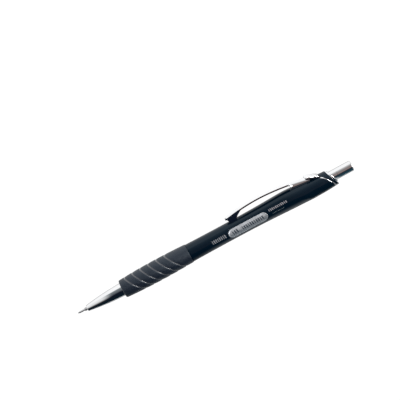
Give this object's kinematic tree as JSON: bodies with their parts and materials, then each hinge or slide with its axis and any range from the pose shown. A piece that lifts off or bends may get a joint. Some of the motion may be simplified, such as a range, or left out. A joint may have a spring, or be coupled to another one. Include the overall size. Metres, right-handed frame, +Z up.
{
  "type": "mechanical pencil",
  "caption": "Push-button mechanical pencil for 0.5 mm lead, with a rubber grip, a sprung pocket clip and a split brass clutch inside.",
  "frame": {"origin": "middle of the bounding box's underside, on the surface that the pencil lies on", "axes": "+X along the pencil, towards the lead tip; +Z up from the surface; the clip points to -Y and down, with its edge on the surface"},
  "size_m": [0.145, 0.0139, 0.0101],
  "materials": {
    "barrel_plastic": "polished black",
    "grip_rubber": "matt dark grey",
    "badge_foil": "satin silver",
    "brass": "turned",
    "chrome": "mirror plated",
    "pipe_steel": "drawn tube",
    "spring_steel": "bright wire",
    "coupling_plastic": "moulded",
    "tube_plastic": "moulded natural",
    "retainer_rubber": "moulded",
    "eraser_rubber": "moulded white",
    "graphite": "polished graphite"
  },
  "bodies": {
    "barrel": {"barrel": "barrel_plastic", "grip": "grip_rubber", "badge": "badge_foil", "spring_seat": "brass", "clip_collar": "chrome", "end_cap": "barrel_plastic", "cap_bezel": "chrome"},
    "nose": {"nose_cone": "chrome", "lead_sleeve": "pipe_steel", "lead_retainer": "retainer_rubber"},
    "clip": {"clip_arm": "chrome"},
    "carriage": {"chuck_shank": "brass", "chuck_coupling": "coupling_plastic", "lead_tube": "tube_plastic", "clutch_spring": "spring_steel"},
    "jaw_1": {"chuck_jaw_1": "brass"},
    "jaw_2": {"chuck_jaw_2": "brass"},
    "jaw_3": {"chuck_jaw_3": "brass"},
    "clutch_ring": {"clutch_ring": "brass"},
    "lead": {"writing_lead": "graphite"},
    "spare_leads": {"spare_leads": "graphite"},
    "eraser": {"eraser_ferrule": "spring_steel", "eraser": "eraser_rubber"},
    "button": {"button_cap": "chrome"}
  },
  "joints": [
    {"name": "nose_unscrew", "type": "slide", "parent": "barrel", "child": "nose", "axis": [1, 0, 0], "range_m": [0, 0.008]},
    {"name": "clip_flex", "type": "hinge", "parent": "barrel", "child": "clip", "pos_m": [-0.0507, -0.00315, 0.00307], "axis": [0, 0.3608, -0.9327], "range_deg": [0, 4], "stiffness_Nm_per_rad": 2.4},
    {"name": "button_press", "type": "slide", "parent": "barrel", "child": "carriage", "axis": [1, 0, 0], "range_m": [0, 0.0025], "stiffness_N_per_m": 1200, "springref_m": -0.001, "deforming": ["clutch_spring"]},
    {"name": "ring_travel", "type": "slide", "parent": "barrel", "child": "clutch_ring", "axis": [1, 0, 0], "range_m": [0, 0.0009]},
    {"name": "jaw_1_open", "type": "hinge", "parent": "carriage", "child": "jaw_1", "pos_m": [0.0465, 0.00128, 0.00478], "axis": [0, 0.3608, -0.9327], "range_deg": [0, 1]},
    {"name": "jaw_2_open", "type": "hinge", "parent": "carriage", "child": "jaw_2", "pos_m": [0.0465, 0.00193, 0.00559], "axis": [0, -0.9881, 0.1539], "range_deg": [0, 1]},
    {"name": "jaw_3_open", "type": "hinge", "parent": "carriage", "child": "jaw_3", "pos_m": [0.0465, 0.00231, 0.00462], "axis": [0, 0.6273, 0.7788], "range_deg": [0, 1]},
    {"name": "lead_feed", "type": "slide", "parent": "barrel", "child": "lead", "axis": [1, 0, 0], "range_m": [-0.0008, 0.006]},
    {"name": "spare_leads_shift", "type": "slide", "parent": "carriage", "child": "spare_leads", "axis": [-1, 0, 0], "range_m": [0, 0.0165]},
    {"name": "eraser_pull", "type": "slide", "parent": "carriage", "child": "eraser", "axis": [-1, 0, 0], "range_m": [0, 0.006]},
    {"name": "cap_pull", "type": "slide", "parent": "eraser", "child": "button", "axis": [-1, 0, 0], "range_m": [0, 0.019]}
  ],
  "couplings": [
    {"joint": "ring_travel", "follows": "button_press", "ratio": 0.35},
    {"joint": "jaw_1_open", "follows": "button_press", "rad_per_m": 6.95},
    {"joint": "jaw_2_open", "follows": "button_press", "rad_per_m": 6.95},
    {"joint": "jaw_3_open", "follows": "button_press", "rad_per_m": 6.95}
  ]
}
